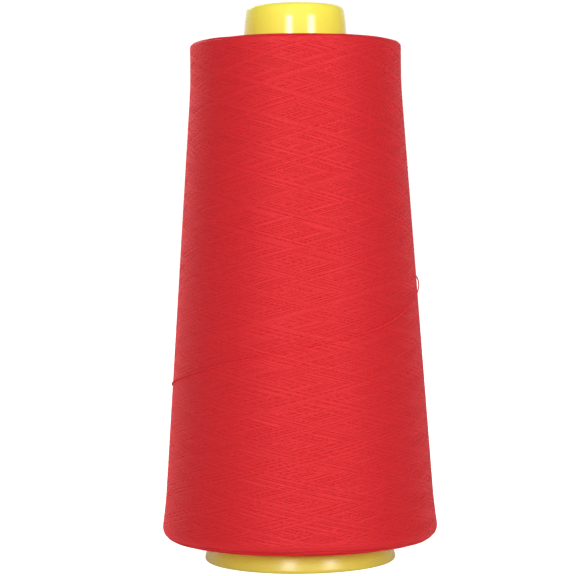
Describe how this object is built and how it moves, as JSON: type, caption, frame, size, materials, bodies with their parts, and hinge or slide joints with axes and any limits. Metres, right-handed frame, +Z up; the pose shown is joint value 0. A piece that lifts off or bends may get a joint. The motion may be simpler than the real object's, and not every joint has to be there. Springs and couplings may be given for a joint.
{
  "type": "sewing thread cone",
  "caption": "Overlock sewing thread cross-wound on a hollow tapered plastic cone, with a slack last wrap.",
  "frame": {"origin": "middle of the foot that the cone stands on", "axes": "+Z up along the cone's axis, -Y the front, where the slack last wrap crosses the winding"},
  "size_m": [0.0568, 0.0568, 0.114],
  "materials": {
    "cone_plastic": "glossy moulded",
    "thread": "spun polyester"
  },
  "bodies": {
    "root": {"cone_core": "cone_plastic", "thread_winding": "thread", "loose_wrap": "thread"}
  },
  "joints": []
}
